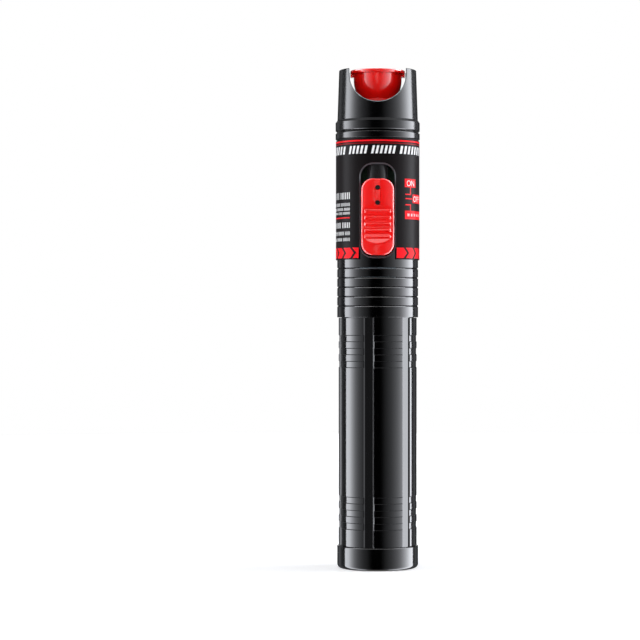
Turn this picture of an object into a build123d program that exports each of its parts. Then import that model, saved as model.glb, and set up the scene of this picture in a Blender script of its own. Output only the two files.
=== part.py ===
from build123d import *
import os
from math import acos, atan, cos, degrees, radians, sin, sqrt

# Visual fault locator: a pen-shaped red laser source for optical fibre.
# Millimetres. The pen stands on its tail cap, +Z runs up its axis, the origin is
# the centre of the base and the slide button looks along -Y.


# Cells and the tube they stand in
cell_radius = 7.25
cell_length = 50.5
cell_count = 2
nub_radius = 2.75
nub_height = 1.3
cell_gap = 0.35
holder_wall = 1.2
holder_ring_height = 2.0
holder_ring_count = 3
holder_ceiling = 1.9
holder_foot_gap = 0.4
ring_gap = 0.15

# Slide carrier and housing, worked outwards from the cell holder
carrier_gap = 0.9
carrier_thickness = 1.0
carrier_clearance = 0.2
carrier_width = 6.4
carrier_overlap = 1.0
barrel_wall = 1.7
barrel_length = 17.8
sleeve_clearance = 0.02
sleeve_thickness = 0.38
sleeve_length = 36.9
collar_gap = 0.5
collar_height = 2.2
collar_overhang = 0.1
parting_gap = 0.15
parting_chamfer = 0.4
edge_chamfer = 0.2

# Turned grooves round the barrel
barrel_groove_pitch = 2.9
barrel_groove_rise = 3.5
barrel_groove_margin = 2.0
barrel_groove_width = 0.95
barrel_groove_floor = 0.55
barrel_groove_depth = 0.35

# Battery tube
tube_step = 0.45
tube_wall = 1.65
tube_spigot_wall = 0.75
tube_spigot_length = 7.7
thread_clearance = 0.1
seam_gap = 0.1
tube_edge_chamfer = 0.15
tube_ring_count = 3
tube_ring_pitch = 4.0
tube_ring_offset = 6.4
tube_ring_width = 1.9
tube_ring_floor = 1.6
tube_ring_depth = 0.18
channel_count = 6
channel_turn = -13.0
channel_width = 3.4
channel_floor = 2.1
channel_depth = 0.42

# Tail cap, its seal and its spring contact
tail_height = 7.0
tail_floor = 2.4
tail_foot_radius = 1.2
tail_rim_chamfer = 0.3
tail_spigot_length = 5.6
tail_spigot_wall = 1.8
seal_wire = 0.9
seal_squeeze = 0.06
seal_rise = 0.8
contact_thickness = 0.4
contact_gap = 0.3
spring_height = 5.2
spring_wire = 0.65
spring_turns = 2.5
spring_base_radius = 5.5
spring_tip_radius = 3.0
spring_seat = 0.12

# Switch and its slot
switch_step = 2.0
switch_steps = 2
switch_width = 4.4
switch_foot = 1.6
switch_wall_end = 1.3
switch_carrier_gap = 0.5
switch_window_depth = 1.8
knob_size = 2.0
knob_clearance = 0.15
knob_root_gap = 0.2
slot_width = 10.4
slot_corner = 3.7
slot_end_gap = 0.4
slot_bevel = 0.45
slot_rise = 0.8

# Slide button
button_clearance = 0.15
button_length = 23.5
button_proud = 1.0
button_edge = 0.6
button_knob_rise = 18.4
button_groove_width = 1.67
button_groove_depth = 0.6
scoop_rise = 9.55
scoop_length = 12.0
scoop_radius = 11.15
ridge_count = 5
ridge_pitch = 2.02
ridge_length = 8.2
ridge_radius = 0.55
ridge_height = 0.45
peg_radius = 0.72
peg_clearance = 0.03
peg_spacing = 4.6
peg_sink = 0.15

# Laser, its cradle and its circuit board
laser_radius = 4.5
laser_length = 15.0
laser_fit = 0.05
laser_board_gap = 0.5
board_thickness = 1.2
board_edge_gap = 0.45
board_top_gap = 0.3
cradle_wall = 1.4
cradle_gap = 0.3
cradle_top_gap = 0.4
cradle_rib = 2.0
cradle_rib_inset = 1.0
chip_width = 3.0
chip_length = 4.8
chip_thickness = 1.2
capacitor_radius = 1.6
capacitor_length = 5.0
parts_side_gap = 1.0
parts_rise = 1.0
resistor_count = 3
resistor_pitch = 2.6
resistor_width = 1.3
resistor_length = 2.4
resistor_thickness = 0.5
resistor_gap = 1.5
leaf_length = 3.0
leaf_overlap = 2.5
leaf_thickness = 0.3
leaf_touch_gap = 0.05
tab_width = 2.0
tab_reach = 3.7
tab_clearance = 0.2
contact_plate_radius = 6.0
diode_radius = 2.8
diode_flange = 1.2
diode_can_radius = 2.3
diode_can_height = 2.4
diode_pocket_depth = 4.0
lead_radius = 0.23
lead_length = 3.0
lead_circle = 1.0
lead_count = 3
lens_radius = 3.0
lens_thickness = 2.6
lens_bulge = 0.8
lens_depth = 7.0
retainer_height = 1.5
retainer_wall = 1.0
light_radius = 1.8

# Fibre port
neck_radius = 4.1
neck_height = 10.5
neck_clearance = 0.1
port_flange_wall = 4.2
port_flange_height = 2.0
port_socket_depth = 3.0
port_socket_wall = 2.0
ferrule_radius = 1.25
ferrule_wall = 0.4
ferrule_length = 12.2
ferrule_mouth = 0.4
ferrule_slit = 0.35
port_eye_radius = 1.0
nut_height = 2.5
nut_across_flats = 11.0

# Head
head_length = 19.25
head_flange_height = 2.85
head_shoulder = 0.8
head_step = 0.08
head_taper = 0.52
head_wall = 1.6
head_rim_chamfer = 0.25
head_spigot_length = 4.35
head_spigot_wall = 1.5
head_room = 1.3
well_depth = 15.1
well_floor = 3.0
notch_radius = 8.7
notch_depth = 10.5

# Dust cap
cap_inset = 0.1
cap_flange_height = 1.1
cap_flange_chamfer = 0.2
cap_ear_gap = 0.2
cap_flange_overhang = 1.05
cap_straight = 1.9
cap_bowl_radius = 9.9
cap_skirt_radius = 5.5
cap_neck_clearance = 0.25
cap_neck_room = 0.6
cap_seat_gap = 0.25
cap_lug_height = 1.0
cap_lug_width = 2.4

# Radii, from the cells outwards
holder_bore = cell_radius + cell_gap
holder_radius = holder_bore + holder_wall
carrier_inner = holder_radius + carrier_gap
carrier_outer = carrier_inner + carrier_thickness
housing_bore = carrier_outer + carrier_clearance
barrel_radius = housing_bore + barrel_wall
sleeve_inner = barrel_radius + sleeve_clearance
sleeve_radius = sleeve_inner + sleeve_thickness
collar_radius = sleeve_radius + collar_overhang
tube_radius = barrel_radius - tube_step
tube_bore = tube_radius - tube_wall
tube_spigot_radius = tube_bore + tube_spigot_wall
housing_socket = tube_spigot_radius + thread_clearance
tail_spigot_radius = tube_bore - thread_clearance
tail_bore = tail_spigot_radius - tail_spigot_wall
seal_groove_radius = tube_bore - seal_squeeze - seal_wire
head_spigot_radius = housing_bore - thread_clearance
head_skirt_bore = head_spigot_radius - head_spigot_wall
head_base_radius = barrel_radius - head_step
head_top_radius = head_base_radius - head_taper
well_radius = head_top_radius - head_wall

# Heights, from the tail cap up through the cells to the switch and its slide, then
# the head over the slide's top end, and the collar and label sleeve down from the head
cells_low = tail_floor + contact_thickness + spring_height
cells_top = cells_low + cell_count * cell_length
holder_underside = cells_top + contact_thickness
holder_top = holder_underside + holder_ceiling
switch_travel = switch_step * switch_steps
switch_low = holder_top + switch_foot
switch_length = switch_travel + knob_size + 2 * switch_wall_end
knob_height = switch_low + switch_wall_end + knob_size / 2
button_low = knob_height - button_knob_rise
button_high = button_low + button_length
slot_low = button_low - slot_end_gap
slot_high = button_high + switch_travel + slot_end_gap
carrier_low = slot_low - switch_travel - carrier_overlap
carrier_high = slot_high + carrier_overlap
head_spigot_low = carrier_high + switch_travel + head_room
head_low = head_spigot_low + head_spigot_length
collar_top = head_low - parting_gap
collar_low = collar_top - collar_height
sleeve_top = collar_low - collar_gap
sleeve_low = sleeve_top - sleeve_length
barrel_low = slot_low - slot_rise - barrel_length
barrel_groove_room = barrel_length - barrel_groove_rise - barrel_groove_margin
barrel_groove_count = 1 + int(barrel_groove_room / barrel_groove_pitch)
tube_low = tail_height + seam_gap
tube_top = barrel_low - seam_gap
tube_spigot_top = tube_top + tube_spigot_length
tail_spigot_top = tail_height + tail_spigot_length
holder_low = tail_spigot_top + holder_foot_gap
head_top = head_low + head_length
floor_top = head_top - well_depth
floor_low = floor_top - well_floor
neck_top = floor_top + neck_height
nut_top = floor_top + nut_height
port_flange_low = floor_low - port_flange_height
port_low = port_flange_low - port_socket_depth
laser_top = port_flange_low
laser_low = laser_top - laser_length
cradle_top = head_spigot_low - cradle_top_gap

# Depths from the axis towards the button
board_back = laser_radius + laser_board_gap
board_front = board_back + board_thickness
switch_front = carrier_inner - switch_carrier_gap
button_radius = sleeve_radius + button_proud
button_width = slot_width - 2 * button_clearance
button_corner = slot_corner - button_clearance

os.makedirs("parts", exist_ok=True)


def save(shape, node):
    """One node's solid, or group of like solids, in its own file."""
    export_step(shape, f"parts/{node}.step")


def turned(*outline):
    """A solid turned about the pen's axis from points of radius and height."""
    face = make_face(Polyline(*outline, close=True))
    return revolve(Plane.XZ * face, axis=Axis.Z, revolution_arc=360)


def tube_between(outer, inner, low, high):
    """A plain ring or sleeve."""
    return turned((inner, low), (outer, low), (outer, high), (inner, high))


def rod_between(radius, low, high):
    """A plain round rod."""
    return turned((0, low), (radius, low), (radius, high), (0, high))


def block(x0, x1, y0, y1, z0, z1):
    """A rectangular block between two corners."""
    centre = Pos((x0 + x1) / 2, (y0 + y1) / 2, (z0 + z1) / 2)
    return centre * Box(x1 - x0, y1 - y0, z1 - z0)


def front_prism(width, low, high, corner, near, far):
    """A rounded rectangle seen from the front, running back from depth far to depth near."""
    middle = (low + high) / 2
    outline = RectangleRounded(width, high - low, corner)
    return Plane((0, -near, middle), x_dir=(1, 0, 0), z_dir=(0, -1, 0)) * extrude(outline, far - near)


def rim(shape, radius, place):
    """The lowest (0) or highest (-1) circular edge of a given radius."""
    circles = shape.edges().filter_by(GeomType.CIRCLE)
    return circles.filter_by(lambda edge: abs(edge.radius - radius) < 1e-6).sort_by(Axis.Z)[place]


def groove_cutter(radius, middle, width, floor, depth):
    """A ring with sloped flanks that cuts one turned groove."""
    over = depth
    spread = (width - floor) / 2 * over / depth
    return turned(
        (radius - depth, middle - floor / 2),
        (radius + over, middle - width / 2 - spread),
        (radius + over, middle + width / 2 + spread),
        (radius - depth, middle + floor / 2),
    )


# Tail cap: a turned cup that screws into the tube and presses the cells up
def make_tail_cap():
    seal_low = tail_height + seal_rise
    seal_high = seal_low + seal_wire + seal_squeeze
    cap = turned(
        (0, 0),
        (barrel_radius, 0),
        (barrel_radius, tail_height),
        (tail_spigot_radius, tail_height),
        (tail_spigot_radius, seal_low),
        (seal_groove_radius, seal_low),
        (seal_groove_radius, seal_high),
        (tail_spigot_radius, seal_high),
        (tail_spigot_radius, tail_spigot_top),
        (tail_bore, tail_spigot_top),
        (tail_bore, tail_floor),
        (0, tail_floor),
    )
    cap = fillet(rim(cap, barrel_radius, 0), tail_foot_radius)
    cap = chamfer(rim(cap, barrel_radius, -1), tail_rim_chamfer)
    save(cap, "tail_cap")

    seal = tube_between(seal_groove_radius + seal_wire, seal_groove_radius, seal_low, seal_low + seal_wire)
    save(seal, "tail_seal")

    plate_top = tail_floor + contact_thickness
    save(rod_between(tail_bore - contact_gap, tail_floor, plate_top), "tail_contact_plate")

    wire_rise = spring_height - spring_wire - 2 * spring_seat
    lean = (spring_base_radius - spring_tip_radius) / wire_rise
    path = Helix(
        pitch=wire_rise / spring_turns,
        height=wire_rise,
        radius=spring_base_radius,
        center=(0, 0, plate_top + spring_wire / 2 + spring_seat),
        cone_angle=-degrees(atan(lean)),
    )
    section = Plane(path @ 0, z_dir=path % 0) * Rectangle(spring_wire, spring_wire)
    save(sweep(section, path, is_frenet=True), "tail_spring")


# Battery tube: turned from bar, with six flat-floored channels milled along it
def make_battery_tube():
    tube = tube_between(tube_radius, tube_bore, tube_low, tube_top)
    tube = chamfer([rim(tube, tube_radius, 0), rim(tube, tube_radius, -1)], tube_edge_chamfer)
    for index in range(tube_ring_count):
        offset = tube_ring_offset + index * tube_ring_pitch
        for middle in (tube_low + offset, tube_top - offset):
            tube -= groove_cutter(tube_radius, middle, tube_ring_width, tube_ring_floor, tube_ring_depth)

    floor_depth = tube_radius - channel_depth
    shore_depth = sqrt(tube_radius**2 - (channel_width / 2) ** 2)
    slope = (channel_width - channel_floor) / 2 / (shore_depth - floor_depth)
    mouth_depth = tube_radius + channel_depth
    mouth_half = channel_floor / 2 + slope * (mouth_depth - floor_depth)
    trapezoid = Polyline(
        (-channel_floor / 2, -floor_depth),
        (channel_floor / 2, -floor_depth),
        (mouth_half, -mouth_depth),
        (-mouth_half, -mouth_depth),
        close=True,
    )
    cutter = Pos(0, 0, tube_low - seam_gap) * extrude(make_face(trapezoid), tube_top - tube_low + 2 * seam_gap)
    for index in range(channel_count):
        tube -= Rot(0, 0, channel_turn + index * 360 / channel_count) * cutter

    tube += tube_between(tube_spigot_radius, tube_bore, tube_top, tube_spigot_top)
    save(tube, "battery_tube")


# Cell holder: a moulded sleeve with a closed top, centred by rings inside the tube
def make_cell_holder():
    holder = tube_between(holder_radius, holder_bore, holder_low, holder_underside)
    holder += rod_between(housing_bore - cradle_gap, holder_underside, holder_top)
    ring_span = tube_spigot_top - holder_low - holder_ring_height
    for index in range(holder_ring_count):
        ring_low = holder_low + index * ring_span / (holder_ring_count - 1)
        holder += tube_between(tube_bore - ring_gap, holder_bore, ring_low, ring_low + holder_ring_height)

    carrier_room = carrier_width / 2 + carrier_clearance
    carrier_back = sqrt(carrier_inner**2 - carrier_room**2) - carrier_clearance
    holder -= block(
        -carrier_room, carrier_room, -housing_bore, -carrier_back,
        holder_underside - holder_ceiling, holder_top + holder_ceiling,
    )
    tab_room = tab_width / 2 + tab_clearance
    holder -= block(
        -tab_room, tab_room, -board_back - tab_clearance, -board_back + contact_thickness + tab_clearance,
        holder_underside - holder_ceiling / 2, holder_top + holder_ceiling,
    )
    save(holder, "cell_holder")

    contact = rod_between(contact_plate_radius, cells_top, holder_underside)
    contact += block(
        -tab_width / 2, tab_width / 2, -board_back, -board_back + contact_thickness,
        cells_top, holder_top + tab_reach,
    )
    save(contact, "positive_contact")


# Two round cells, button end up, one on the other
def make_cells():
    for index, node in enumerate(("lower_cell", "upper_cell")):
        low = cells_low + index * cell_length
        shoulder = low + cell_length - nub_height
        cell = turned(
            (0, low),
            (cell_radius, low),
            (cell_radius, shoulder),
            (nub_radius, shoulder),
            (nub_radius, low + cell_length),
            (0, low + cell_length),
        )
        save(cell, node)


# Switch housing: the grooved barrel, the slotted shell under the label and the collar
def make_switch_housing():
    body = turned(
        (housing_socket, barrel_low),
        (barrel_radius, barrel_low),
        (barrel_radius, collar_low),
        (collar_radius, collar_low),
        (collar_radius, collar_top),
        (housing_bore, collar_top),
        (housing_bore, tube_spigot_top + seam_gap),
        (housing_socket, tube_spigot_top + seam_gap),
    )
    body = chamfer(rim(body, collar_radius, -1), parting_chamfer)
    body = chamfer([rim(body, barrel_radius, 0), rim(body, collar_radius, 0)], edge_chamfer)
    for index in range(barrel_groove_count):
        middle = barrel_low + barrel_groove_rise + index * barrel_groove_pitch
        body -= groove_cutter(
            barrel_radius, middle, barrel_groove_width, barrel_groove_floor, barrel_groove_depth
        )

    body -= front_prism(slot_width, slot_low, slot_high, slot_corner, holder_bore, sleeve_radius)
    lip = [
        edge
        for edge in body.edges()
        if edge.center().Y < -housing_bore / 2
        and slot_low - 1e-3 <= edge.center().Z <= slot_high + 1e-3
        and all(abs(sqrt(v.X**2 + v.Y**2) - barrel_radius) < 1e-3 for v in edge.vertices())
        and abs(edge.center().X) < slot_width / 2 + 1e-3
        and edge.length < slot_high - slot_low
    ]
    body = chamfer(lip, slot_bevel)
    save(body, "switch_housing")


# Label sleeve: a printed sleeve with a window that is open at its lower edge
def make_label_sleeve():
    sleeve = tube_between(sleeve_radius, sleeve_inner, sleeve_low, sleeve_top)
    window_width = slot_width + 2 * slot_bevel
    window_corner = slot_corner + slot_bevel
    window_low = sleeve_low - 2 * window_corner
    sleeve -= front_prism(
        window_width, window_low, slot_high + slot_bevel, window_corner, holder_bore, button_radius
    )
    save(sleeve, "label_sleeve")


# Slide button: a glossy moulding with a thumb scoop, five grip ridges and a guide groove
def make_slide_button():
    shell = tube_between(button_radius, carrier_outer + peg_clearance, button_low, button_high)
    button = shell & front_prism(
        button_width, button_low, button_high, button_corner, holder_bore, button_radius + 1
    )
    outer = button.faces().filter_by(GeomType.CYLINDER).filter_by(
        lambda face: abs(face.geom_adaptor().Cylinder().Radius() - button_radius) < 1e-6
    )
    button = fillet(outer.edges(), button_edge)

    scoop_height = button_low + scoop_rise
    scoop_axis = button_radius + sqrt(scoop_radius**2 - (scoop_length / 2) ** 2)
    bed = Pos(0, -scoop_axis, scoop_height) * Rot(0, 90, 0) * Cylinder(scoop_radius, 2 * button_width)
    button -= bed

    ridge_axis_depth = scoop_radius + ridge_radius - ridge_height
    for index in range(ridge_count):
        rise = (index - (ridge_count - 1) / 2) * ridge_pitch
        depth = scoop_axis - sqrt(ridge_axis_depth**2 - rise**2)
        place = Pos(0, -depth, scoop_height + rise)
        bar = Rot(0, 90, 0) * Cylinder(ridge_radius, ridge_length)
        ends = Rot(90, 0, 0) * extrude(SlotOverall(ridge_length, 2 * ridge_radius), ridge_radius, both=True)
        button += place * (bar & ends)

    groove_floor = button_radius - button_groove_depth
    groove_end = knob_height - peg_spacing / 2 - peg_radius
    button -= block(
        -button_groove_width / 2, button_groove_width / 2, -button_radius - 1, -groove_floor,
        groove_end, button_high + 1,
    )
    for side in (-1, 1):
        button -= peg(side, peg_radius + peg_clearance, button_radius + 1)
    save(button, "slide_button")


def peg(side, radius, tip):
    """A round peg that looks forwards, above or below the switch knob."""
    height = knob_height + side * peg_spacing / 2
    length = tip - carrier_inner
    return Pos(0, -(carrier_inner + length / 2), height) * Rot(90, 0, 0) * Cylinder(radius, length)


# Slide carrier: the curved strip behind the slot that joins the button to the switch knob
def make_slide_carrier():
    carrier = tube_between(carrier_outer, carrier_inner, carrier_low, carrier_high)
    carrier &= block(-carrier_width / 2, carrier_width / 2, -barrel_radius, 0, carrier_low, carrier_high)
    hole = knob_size / 2 + knob_clearance
    carrier -= block(-hole, hole, -barrel_radius, 0, knob_height - hole, knob_height + hole)
    peg_tip = button_radius - button_groove_depth - peg_sink
    for side in (-1, 1):
        carrier += peg(side, peg_radius, peg_tip)
    save(carrier, "slide_carrier")


# Three-position slide switch on the board, with its knob in the carrier's hole
def make_switch():
    half = switch_width / 2
    body = block(-half, half, -switch_front, -board_front, switch_low, switch_low + switch_length)
    room = knob_size / 2 + knob_clearance
    body -= block(
        -room, room, -switch_front - 1, -switch_front + switch_window_depth,
        knob_height - room, knob_height + switch_travel + room,
    )
    save(body, "switch_body")

    knob_root = switch_front - switch_window_depth + knob_root_gap
    knob_tip = carrier_outer - knob_clearance
    size = knob_size / 2
    save(block(-size, size, -knob_tip, -knob_root, knob_height - size, knob_height + size), "switch_knob")


# Laser cradle: a trough that holds the laser barrel between two saddles
def make_laser_cradle():
    radius = housing_bore - cradle_gap
    inner = radius - cradle_wall
    cradle = tube_between(radius, inner, holder_top, cradle_top)
    for low in (laser_low + cradle_rib_inset, cradle_top - cradle_rib):
        cradle += tube_between(inner, laser_radius + laser_fit, low, low + cradle_rib)
    cradle -= block(-radius, radius, -radius, -board_back, holder_top, cradle_top)
    throat = laser_radius + laser_fit
    cradle -= block(-throat, throat, -radius, 0, holder_top, cradle_top)
    save(cradle, "laser_cradle")


# Circuit board with the driver parts that stand on its front
def make_board():
    board_top = cradle_top - board_top_gap
    half = sqrt((housing_bore - board_edge_gap) ** 2 - board_front**2)
    save(block(-half, half, -board_front, -board_back, holder_top, board_top), "circuit_board")

    beside = switch_width / 2 + parts_side_gap
    parts_low = switch_low + parts_rise
    chip = block(
        beside, beside + chip_width, -board_front - chip_thickness, -board_front,
        parts_low, parts_low + chip_length,
    )
    save(chip, "driver_chip")

    can = rod_between(capacitor_radius, parts_low, parts_low + capacitor_length)
    save(Pos(-beside - capacitor_radius, -board_front - capacitor_radius, 0) * can, "capacitor")

    row_low = switch_low + switch_length + resistor_gap
    row = []
    for index in range(resistor_count):
        left = (index - (resistor_count - 1) / 2) * resistor_pitch - resistor_width / 2
        row.append(block(
            left, left + resistor_width, -board_front - resistor_thickness, -board_front,
            row_low, row_low + resistor_length,
        ))
    save(Compound(children=row), "resistors")

    leaf = block(
        -housing_bore, leaf_overlap - half, -board_front - leaf_thickness, -board_front,
        row_low, row_low + leaf_length,
    )
    save(leaf & rod_between(housing_bore - leaf_touch_gap, row_low, row_low + leaf_length), "ground_leaf")


# Laser: brass barrel, diode, collimating lens and the ring that locks the lens
def make_laser():
    diode_pocket = diode_radius + laser_fit
    lens_pocket = lens_radius + laser_fit
    lens_seat = laser_top - lens_depth
    save(
        turned(
            (diode_pocket, laser_low),
            (laser_radius, laser_low),
            (laser_radius, laser_top),
            (lens_pocket, laser_top),
            (lens_pocket, lens_seat),
            (light_radius, lens_seat),
            (light_radius, laser_low + diode_pocket_depth),
            (diode_pocket, laser_low + diode_pocket_depth),
        ),
        "laser_barrel",
    )

    flange_low = laser_low + diode_pocket_depth - diode_can_height - diode_flange
    can_top = flange_low + diode_flange + diode_can_height
    diode = turned(
        (0, flange_low),
        (diode_radius, flange_low),
        (diode_radius, flange_low + diode_flange),
        (diode_can_radius, flange_low + diode_flange),
        (diode_can_radius, can_top),
        (0, can_top),
    )
    for index in range(lead_count):
        turn = radians(90 + index * 360 / lead_count)
        spot = Pos(lead_circle * cos(turn), lead_circle * sin(turn), 0)
        diode += spot * rod_between(lead_radius, flange_low - lead_length, flange_low)
    save(diode, "laser_diode")

    crown_radius = (lens_radius**2 + lens_bulge**2) / (2 * lens_bulge)
    crown = Pos(0, 0, lens_seat + lens_thickness - crown_radius) * Sphere(crown_radius)
    save(rod_between(lens_radius, lens_seat, lens_seat + lens_thickness) & crown, "collimating_lens")

    lock_low = lens_seat + lens_thickness
    save(
        tube_between(lens_radius, lens_radius - retainer_wall, lock_low, lock_low + retainer_height),
        "lens_lock_ring",
    )


# Fibre port: a turned neck that takes a 2.5 mm ferrule in a slit sleeve
def make_fibre_port():
    flange_radius = neck_radius + port_flange_wall
    socket = laser_radius + laser_fit
    sleeve_outer = ferrule_radius + ferrule_wall
    pocket = sleeve_outer + laser_fit
    ferrule_top = neck_top - ferrule_mouth
    ferrule_low = ferrule_top - ferrule_length
    port = turned(
        (port_eye_radius, port_flange_low),
        (socket, port_flange_low),
        (socket, port_low),
        (socket + port_socket_wall, port_low),
        (socket + port_socket_wall, port_flange_low),
        (flange_radius, port_flange_low),
        (flange_radius, floor_low),
        (neck_radius, floor_low),
        (neck_radius, neck_top),
        (pocket, neck_top),
        (pocket, ferrule_low),
        (port_eye_radius, ferrule_low),
    )
    port = chamfer(rim(port, neck_radius, -1), edge_chamfer)
    save(port, "fibre_port")

    sleeve = tube_between(sleeve_outer, ferrule_radius, ferrule_low, ferrule_top)
    sleeve -= block(-ferrule_slit / 2, ferrule_slit / 2, 0, 2 * sleeve_outer, ferrule_low, ferrule_top)
    save(sleeve, "ferrule_sleeve")

    hexagon = RegularPolygon(nut_across_flats / 2, 6, major_radius=False)
    nut = Pos(0, 0, floor_top) * extrude(hexagon, nut_height)
    nut -= rod_between(neck_radius + neck_clearance, floor_top, nut_top)
    save(nut, "port_nut")


# Head: a tapered guard with an ear each side and finger notches front and back
def make_head_cap():
    flange_top = head_low + head_flange_height
    body = turned(
        (head_skirt_bore, head_spigot_low),
        (head_spigot_radius, head_spigot_low),
        (head_spigot_radius, head_low),
        (collar_radius - parting_chamfer, head_low),
        (collar_radius, head_low + parting_chamfer),
        (collar_radius, flange_top),
        (head_base_radius, flange_top + head_shoulder),
        (head_top_radius, head_top),
        (well_radius, head_top),
        (well_radius, floor_top),
        (neck_radius + neck_clearance, floor_top),
        (neck_radius + neck_clearance, floor_low),
        (head_skirt_bore, floor_low),
    )
    body = chamfer([rim(body, head_top_radius, -1), rim(body, well_radius, -1)], head_rim_chamfer)
    notch_middle = head_top - notch_depth + notch_radius
    notch = Pos(0, 0, notch_middle) * Rot(90, 0, 0) * Cylinder(notch_radius, 3 * collar_radius)
    notch += block(
        -notch_radius, notch_radius, -1.5 * collar_radius, 1.5 * collar_radius,
        notch_middle, head_top + notch_radius,
    )
    body -= notch
    save(body, "head_cap")


# Dust cap: a moulded cap with a bowl-shaped body that pulls off the neck
def make_dust_cap():
    top = head_top - cap_inset
    flange_low = top - cap_flange_height
    flange_radius = notch_radius - cap_ear_gap
    body_radius = flange_radius - cap_flange_overhang
    bowl_start = flange_low - cap_straight
    sweep_angle = acos((cap_bowl_radius - body_radius + cap_skirt_radius) / cap_bowl_radius)
    bowl_centre = body_radius - cap_bowl_radius

    def bowl_point(share):
        angle = share * sweep_angle
        return (bowl_centre + cap_bowl_radius * cos(angle), bowl_start - cap_bowl_radius * sin(angle))

    low = nut_top + cap_seat_gap
    bore = neck_radius + cap_neck_clearance
    bore_top = neck_top + cap_neck_room
    outline = Polyline(
        bowl_point(1), (cap_skirt_radius, low), (bore, low), (bore, bore_top), (0, bore_top), (0, top),
        (flange_radius - cap_flange_chamfer, top), (flange_radius, top - cap_flange_chamfer),
        (flange_radius, flange_low), (body_radius, flange_low), bowl_point(0),
    )
    outline += ThreePointArc(bowl_point(0), bowl_point(0.5), bowl_point(1))
    cap = revolve(Plane.XZ * make_face(outline), axis=Axis.Z, revolution_arc=360)
    lug_low = flange_low - cap_lug_height
    lugs = tube_between(flange_radius, body_radius - cap_ear_gap, lug_low, flange_low)
    lugs &= block(
        -flange_radius, flange_radius, -cap_lug_width / 2, cap_lug_width / 2, lug_low, flange_low
    )
    cap += lugs
    save(cap, "dust_cap")


make_tail_cap()
make_battery_tube()
make_cell_holder()
make_cells()
make_switch_housing()
make_label_sleeve()
make_slide_button()
make_slide_carrier()
make_switch()
make_laser_cradle()
make_board()
make_laser()
make_fibre_port()
make_head_cap()
make_dust_cap()
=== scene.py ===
from math import acos, asin, atan2, cos, degrees, hypot, pi, radians, sin, sqrt, tau

import bmesh
import bpy
from mathutils import Matrix, Vector


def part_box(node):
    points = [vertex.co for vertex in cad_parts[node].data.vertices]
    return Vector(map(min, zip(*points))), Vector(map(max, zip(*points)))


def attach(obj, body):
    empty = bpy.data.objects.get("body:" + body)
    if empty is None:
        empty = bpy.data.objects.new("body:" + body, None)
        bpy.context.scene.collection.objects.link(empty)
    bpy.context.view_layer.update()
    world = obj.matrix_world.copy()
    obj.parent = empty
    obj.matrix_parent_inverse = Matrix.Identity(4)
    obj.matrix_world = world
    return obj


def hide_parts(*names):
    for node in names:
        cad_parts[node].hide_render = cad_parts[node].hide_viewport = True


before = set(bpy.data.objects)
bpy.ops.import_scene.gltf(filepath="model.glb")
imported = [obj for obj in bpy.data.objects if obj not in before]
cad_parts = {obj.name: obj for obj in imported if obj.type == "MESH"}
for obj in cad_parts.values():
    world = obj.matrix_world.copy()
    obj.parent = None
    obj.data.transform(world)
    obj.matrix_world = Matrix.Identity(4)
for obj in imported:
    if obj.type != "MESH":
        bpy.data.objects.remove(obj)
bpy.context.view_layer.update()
scene = bpy.context.scene
mm = 0.001


# Tail cap
# A cup turned from aluminium bar, anodised gloss black, with a rounded foot. It screws
# into the battery tube, so a plain spigot stands on it, and it presses the cells up.
def node_sizes(node):
    """Outer radius, lowest and highest height of a round node, in millimetres."""
    low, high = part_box(node)
    return (high.x - low.x) / 2 / mm, low.z / mm, high.z / mm


hair_gap = 1e-6


def rounded_outline(outline, segments=4):
    """A bmesh with the closed outline of (radius, height, rounding) corners in the XZ plane."""
    work = bmesh.new()
    corners = [work.verts.new((corner[0], 0, corner[1])) for corner in outline]
    work.faces.new(corners)
    roundings = {vert: (corner[2] if len(corner) > 2 else 0) for vert, corner in zip(corners, outline)}
    for rounding in sorted(set(roundings.values()) - {0}):
        picked = [vert for vert in corners if vert.is_valid and roundings[vert] == rounding]
        bmesh.ops.bevel(
            work, geom=picked, offset=rounding, segments=segments, profile=0.5,
            affect="VERTICES", material=-1, clamp_overlap=False,
        )
    bmesh.ops.delete(work, geom=work.faces[:], context="FACES_ONLY")
    on_axis = [edge for edge in work.edges if max(vert.co.x for vert in edge.verts) < hair_gap]
    bmesh.ops.delete(work, geom=on_axis, context="EDGES")
    return work


merge_gap = 1e-4


def verts_in(geom):
    """The points among what an operator returns."""
    return [item for item in geom if isinstance(item, bmesh.types.BMVert)]


def repeated(work, copies):
    """Copies what is there round the axis until the ring closes."""
    first = work.verts[:] + work.edges[:] + work.faces[:]
    for index in range(1, copies):
        copy = bmesh.ops.duplicate(work, geom=first)["geom"]
        turn = Matrix.Rotation(tau * index / copies, 3, "Z")
        bmesh.ops.rotate(work, cent=(0, 0, 0), matrix=turn, verts=verts_in(copy))
    bmesh.ops.remove_doubles(work, verts=work.verts, dist=merge_gap)
    bmesh.ops.recalc_face_normals(work, faces=work.faces)
    return work


def swept(work, geom, angle, steps):
    """What is given, turned through an angle about the pen's axis."""
    return bmesh.ops.spin(
        work, geom=geom, cent=(0, 0, 0), axis=(0, 0, 1), angle=angle, steps=steps, use_duplicate=False
    )


def spun(outline, sections=240):
    """The outline turned all the way round the pen's axis."""
    work = rounded_outline(outline)
    sectors = 12
    swept(work, work.verts[:] + work.edges[:], tau / sectors, sections // sectors)
    return repeated(work, sectors)


def in_scene(work, name, *finishes):
    """The mesh as an object in the scene, with its materials."""
    data = bpy.data.meshes.new(name)
    work.to_mesh(data)
    work.free()
    for finish in finishes:
        data.materials.append(finish)
    made = bpy.data.objects.new(name, data)
    scene.collection.objects.link(made)
    return made


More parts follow.
